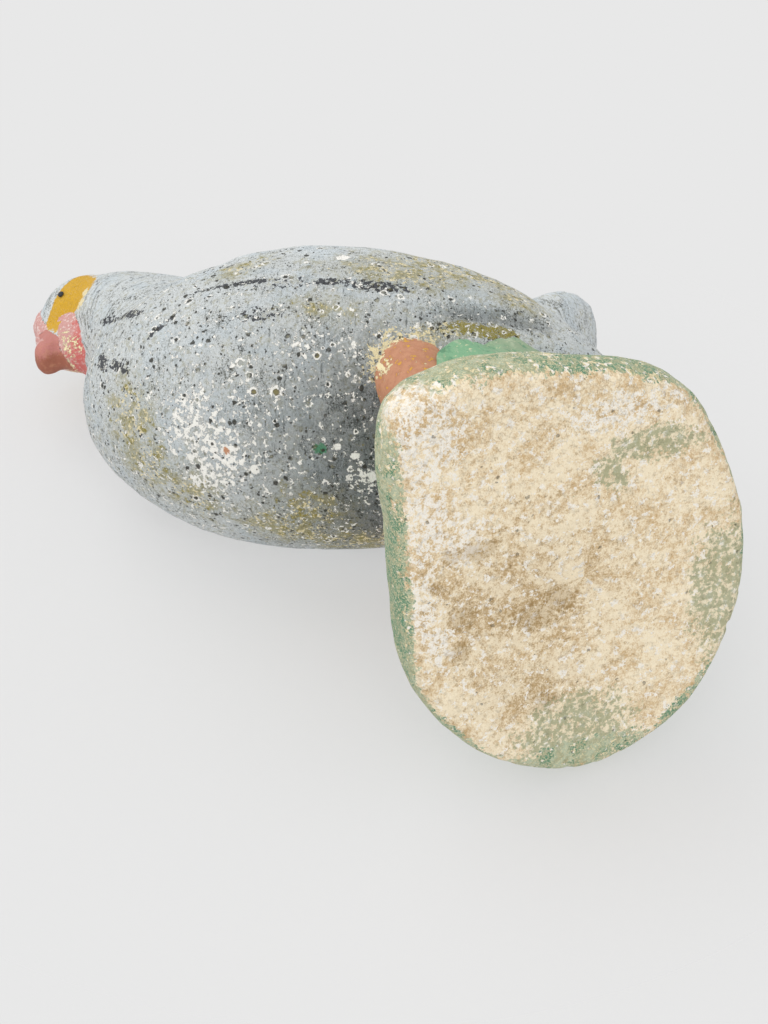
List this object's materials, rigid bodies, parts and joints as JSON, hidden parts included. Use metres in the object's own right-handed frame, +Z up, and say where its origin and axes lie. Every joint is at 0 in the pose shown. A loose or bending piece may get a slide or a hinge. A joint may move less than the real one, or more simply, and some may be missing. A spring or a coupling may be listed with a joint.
{
  "type": "garden hen ornament",
  "caption": "Standing hen of painted cement, plump egg-shaped body on short legs before a grass mound, on a rounded flat slab: a weathered garden ornament.",
  "frame": {"origin": "on the base's flat underside, near its middle, between and just behind the feet", "axes": "+Z up as the hen stands, head towards -Y, tail towards +Y, the hen's left side towards +X"},
  "size_m": [0.163, 0.2131, 0.2845],
  "materials": {
    "grey_paint": "matt chipped paint",
    "head_paint": "matt chipped paint",
    "green_paint": "worn matt paint",
    "brown_paint": "matt chipped paint",
    "red_paint": "satin chipped paint",
    "black_paint": "satin paint",
    "iron": "plain rod"
  },
  "bodies": {
    "root": {"base_slab": "green_paint", "grass_mound": "green_paint", "left_foot": "brown_paint", "right_foot": "brown_paint", "left_leg": "brown_paint", "right_leg": "brown_paint", "body": "grey_paint", "left_wing": "grey_paint", "right_wing": "grey_paint", "tail": "grey_paint", "neck": "grey_paint", "head": "head_paint", "beak": "brown_paint", "comb": "red_paint", "left_wattle": "red_paint", "right_wattle": "red_paint", "left_eye": "black_paint", "right_eye": "black_paint", "left_leg_rod": "iron", "right_leg_rod": "iron", "neck_rod": "iron", "tail_rod": "iron"}
  },
  "joints": []
}
